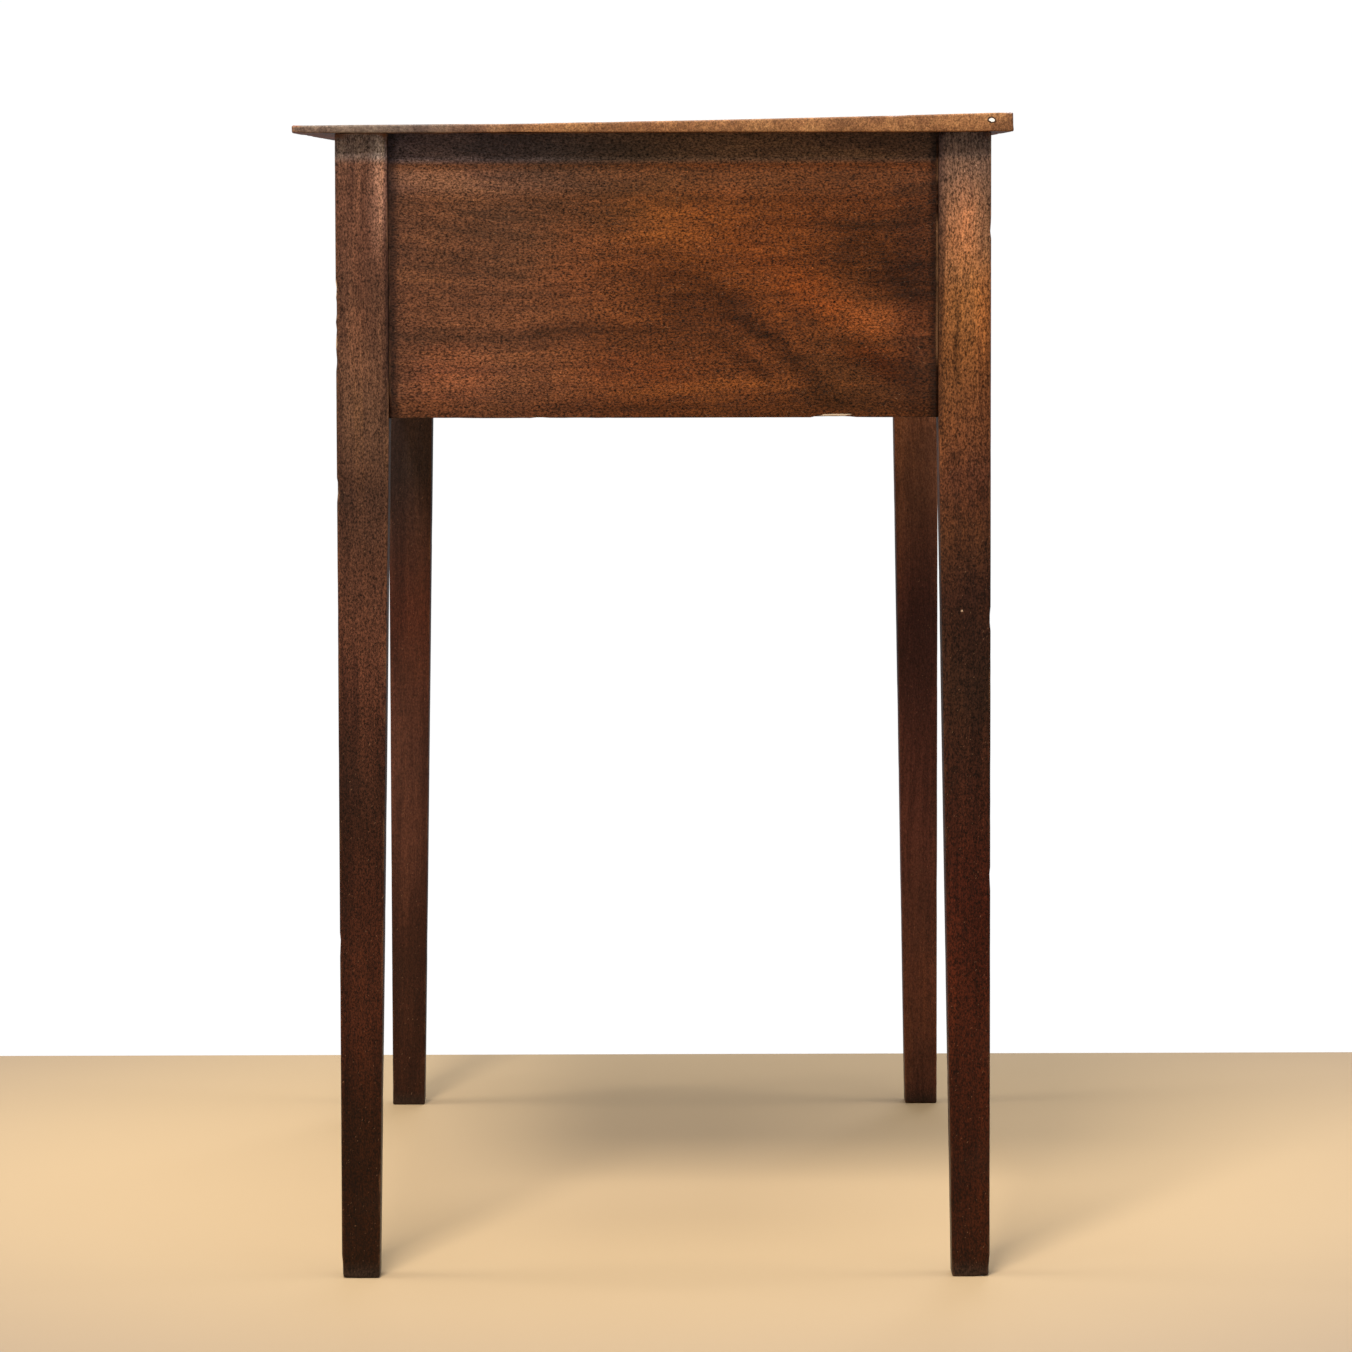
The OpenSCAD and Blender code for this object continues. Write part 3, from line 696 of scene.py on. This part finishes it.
m_leg_fr = mahogany("mahogany_leg_front_right", "Z", "leg", 1.0, blobs=leg_front_blobs, tints=(painted_shade_inner_fr, painted_shadow_tint_fr),
                    speckle=1.15,
                    run=((0.0, 0.22, 0.95, 0.42), (0.10, 0.30, 0.90, 0.55), (0.17, 0.68, 0.80, 0.62), (0.29, 0.43, 1.1, 1.0), (0.39, 0.93, 1.12, 1.08), (0.44, 0.62, 1.1, 1.1), (0.485, 0.34, 1.15, 1.25), (0.53, 0.62, 1.1, 1.1), (0.60, 0.80, 1.03, 1.0), (0.690, 0.92, 1.10, 1.15)),
                    foot=True, wear=0.65, contrast=0.4,
                    chips=[((LEG_X, -0.1948, 0.6140), (1, 0.0010, 0.008), 0.0, (188, 160, 130), False), ((LEG_X, -0.1948, 0.5980), (1, 0.0009, 0.004), 0.0, (176, 146, 116), False),
                           ((LEG_X, -0.1948, 0.5820), (1, 0.0009, 0.006), 0.0, (166, 136, 106), False), ((LEG_X, -0.1948, 0.4900), (1, 0.0011, 0.007), 0.0, (176, 150, 124), False)])
m_leg_br = mahogany("mahogany_leg_back_right", "Z", "leg", 2.3, blobs=leg_back_blobs, tints=(painted_shade_inner_br, painted_shadow_tint_br),
                    speckle=1.15,
                    run=((0.0, 0.40, 0.82, 0.52), (0.12, 0.56, 0.72, 0.48), (0.24, 0.66, 0.59, 0.42), (0.36, 0.35, 1.15, 1.02), (0.42, 0.19, 0.9, 0.95), (0.465, 0.40, 0.92, 0.72), (0.50, 0.50, 0.86, 0.76), (0.575, 1.06, 0.86, 0.46), (0.61, 1.38, 0.93, 0.52), (0.66, 1.26, 1.20, 1.1), (0.688, 1.02, 1.32, 1.5)),
                    foot=True, wear=0.5, contrast=0.4,
                    chips=[((LEG_X, 0.1900, 0.4150), (1, 0.0010, 0.0010), 0.0, (170, 140, 112), False)])
m_leg_fl = mahogany("mahogany_leg_front_left", "Z", "leg", 3.7, foot=True, wear=0.5, contrast=0.4,
                    run=((0.0, 0.62, 1.10, 1.05), (0.20, 1.26, 1.20, 1.35), (0.36, 0.82, 0.95, 1.0), (0.46, 0.27, 1.55, 2.3), (0.70, 0.55, 1.2, 1.4)))
m_leg_bl = mahogany("mahogany_leg_back_left", "Z", "leg", 5.2, foot=True, wear=0.5, contrast=0.4,
                    run=((0.0, 1.8, 1.22, 1.40), (0.20, 1.8, 1.08, 1.35), (0.36, 0.72, 1.02, 1.45), (0.46, 1.8, 1.06, 1.02), (0.70, 1.4, 0.9, 0.9)))
m_rail_r = mahogany("mahogany_rail_right", "Y", "rail", 0.4, figure=0.9, blobs=rail_blobs, tints=(left_grey, painted_shade_near_legs, painted_shade_by_legs, low_dark, painted_shadow_tint_rail, painted_light_under_shadow), wear=0.5, contrast=0.36, speckle=1.3,
                    chips=[((RX, 0.1120, 0.5360), (1, 0.0140, 0.0011), 0.03, (206, 184, 156), False)])
m_rail_l = mahogany("mahogany_rail_left", "Y", "rail", 8.1, figure=0.8, wear=0.4)
m_rail_b = mahogany("mahogany_rail_back", "X", "rail", 6.6, figure=0.3, wear=0.4)
m_front = mahogany("mahogany_drawer_front", "X", "rail", 9.4, figure=1.0, gloss=0.5, wear=0.45)
m_frail = mahogany("mahogany_front_rails", "X", "rail", 4.9, wear=0.5)

top_side = lambda n: (n.step(n.math("ABSOLUTE", n.x), 0.3930, 0.3942), (1.28, 1.90, 2.15))
top_grey = lambda n: (n.mul(n.step(n.math("ABSOLUTE", n.x), 0.3930, 0.3942), n.step(n.y, -0.055, -0.160)), (0.56, 0.84, 1.55))
m_top = mahogany("mahogany_top", "X", "top", 7.7, figure=0.35, tints=(top_side, top_grey), gloss=0.6, wear=0.6, speckle=0.7, edge_tint=lin(176, 128, 90),
                 chips=[((0.395, 0.2075, 0.7166), (1, 0.0024, 0.0015), -0.2, (244, 240, 232), True)])
m_stop = mahogany("mahogany_blocks", "X", "rail", 2.9, raw=0.6, wear=0.2)

p_x = old_pine("pine_x", "X", 1.0)
p_bottom = old_pine("pine_bottom", "Y", 2.0, across="X", width=20)
p_y = old_pine("pine_y", "Y", 3.0)
p_dark = old_pine("pine_bearers", "Y", 4.4, dark=0.5)
p_block = old_pine("pine_blocks", "X", 5.1, dark=0.5)

worked("leg_front_right", m_leg_fr, leg_edges("leg_front_right"), 1.3, (10, 10, 5), wear=0.3,
       dents=[((LEG_X, -0.195, z), r, d) for z, r, d in ((0.6130, 0.006, 0.9), (0.6010, 0.007, 1.1), (0.5880, 0.006, 0.8), (0.5700, 0.006, 0.9), (0.4905, 0.008, 1.2), (0.2100, 0.006, 0.6), (0.004, 0.010, 1.0))])
worked("leg_back_right", m_leg_br, leg_edges("leg_back_right"), 1.3, (10, 10, 5), wear=0.3,
       dents=[((LEG_X, 0.208, z), r, d) for z, r, d in ((0.6500, 0.006, 0.7), (0.4100, 0.007, 0.8), (0.2500, 0.006, 0.7), (0.003, 0.010, 1.2))])
worked("leg_front_left", m_leg_fl, leg_edges("leg_front_left"), 1.3, (10, 10, 5), wear=0.3,
       dents=[((-LEG_X, -0.195, z), r, d) for z, r, d in ((0.5500, 0.007, 0.9), (0.3300, 0.006, 0.8), (0.004, 0.010, 1.1))])
worked("leg_back_left", m_leg_bl, leg_edges("leg_back_left"), 1.3, (10, 10, 5), wear=0.3,
       dents=[((-LEG_X, 0.208, z), r, d) for z, r, d in ((0.6200, 0.007, 0.9), (0.1800, 0.006, 0.8), (0.004, 0.010, 1.1))])

worked("side_rail_right", m_rail_r, long_edges(1, RAIL_Z), 0.9, (0, 4, 12), wear=0.6,
       dents=[((RX, y, RAIL_Z), r, d) for y, r, d in ((0.1030, 0.006, 1.4), (0.1110, 0.007, 1.8), (0.1180, 0.005, 1.2), (-0.0700, 0.004, 0.8))])
worked("side_rail_left", m_rail_l, long_edges(1, RAIL_Z), 0.9, (0, 4, 12), wear=0.6,
       dents=[((-RX, 0.0500, RAIL_Z), 0.007, 1.3)])
worked("back_rail", m_rail_b, long_edges(0, RAIL_Z), 0.9, (5, 0, 12), wear=0.6)
worked("front_rail_upper", m_frail, long_edges(0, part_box("front_rail_upper")[0].z), 0.8, (5, 9, 0), wear=0.5)
worked("front_rail_lower", m_frail, long_edges(0), 1.0, (5, 9, 0), wear=0.3,
       dents=[((x, -0.1915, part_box("front_rail_lower")[1].z), 0.006, 1.0) for x in (-0.21, 0.05, 0.29)])
worked("table_top", m_top, lambda a, b: True, 1.1, (5, 8, 0), wave=0.08, wear=0.6,
       dents=[((0.395, 0.1500, 0.7185), 0.006, 0.7), ((0.395, -0.1200, 0.7130), 0.005, 0.6), ((-0.1, -0.221, 0.7130), 0.008, 0.8),
              ((0.395, -0.221, 0.7105), 0.009, 1.4), ((-0.395, -0.221, 0.7105), 0.009, 1.2), ((0.395, 0.221, 0.72), 0.007, 1.0), ((-0.395, 0.221, 0.72), 0.008, 1.2)])

for side in ("left", "right"):
    worked("runner_" + side, p_dark, long_edges(1), 0.8, (0, 8, 0), wear=0.5)
    worked("guide_" + side, p_dark, long_edges(1), 0.8, (0, 8, 0), wear=0.5)
    worked("kicker_" + side, p_dark, long_edges(1), 0.8, (0, 8, 0), wear=0.5)
    worked("drawer_side_" + side, p_y, long_edges(1), 0.8, (0, 8, 12), wear=0.5)
worked("glue_blocks", p_block, everything, 0.8, (8, 0, 0), wear=0.5)
worked("drawer_stops", m_stop, everything, 0.7, (6, 6, 0), wear=0.4)
worked("drawer_back", p_x, long_edges(0), 0.7, (10, 0, 12), wear=0.4)
worked("drawer_bottom", p_bottom, long_edges(0), 0.5, (16, 12, 0), wave=0.15, wear=0.2)

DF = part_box("drawer_front")


def front_face_edges(a, b):
    return (near(a.y, DF[0].y) and near(b.y, DF[0].y)
            and ((near(a.x, DF[0].x) and near(b.x, DF[0].x)) or (near(a.x, DF[1].x) and near(b.x, DF[1].x))
                 or (near(a.z, DF[0].z) and near(b.z, DF[0].z)) or (near(a.z, DF[1].z) and near(b.z, DF[1].z))))


worked("drawer_front", m_front, front_face_edges, 0.9, (8, 0, 8), wave=0.06, wear=0.5)

# ------------------------------------------------------------------ brass and iron
brass = aged_brass("aged_brass", 1.0)
iron = old_iron("old_iron")


def metal(node, material, width, segments=2):
    o = NODES[node]
    o.data.materials.clear()
    o.data.materials.append(material)
    w = o.modifiers.new("weld", "WELD")
    w.merge_threshold = 1e-6
    b = o.modifiers.new("round", "BEVEL")
    b.width, b.segments, b.limit_method, b.angle_limit = width * MM, segments, "ANGLE", math.radians(35)
    b.harden_normals = False
    o.data.polygons.foreach_set("use_smooth", [True] * len(o.data.polygons))


for side in ("left", "right"):
    metal("pull_plate_" + side, brass, 0.25)
    metal("pull_ring_" + side, brass, 0.2)
metal("pull_screws", brass, 0.08, 1)
metal("drawer_nails", iron, 0.1, 1)
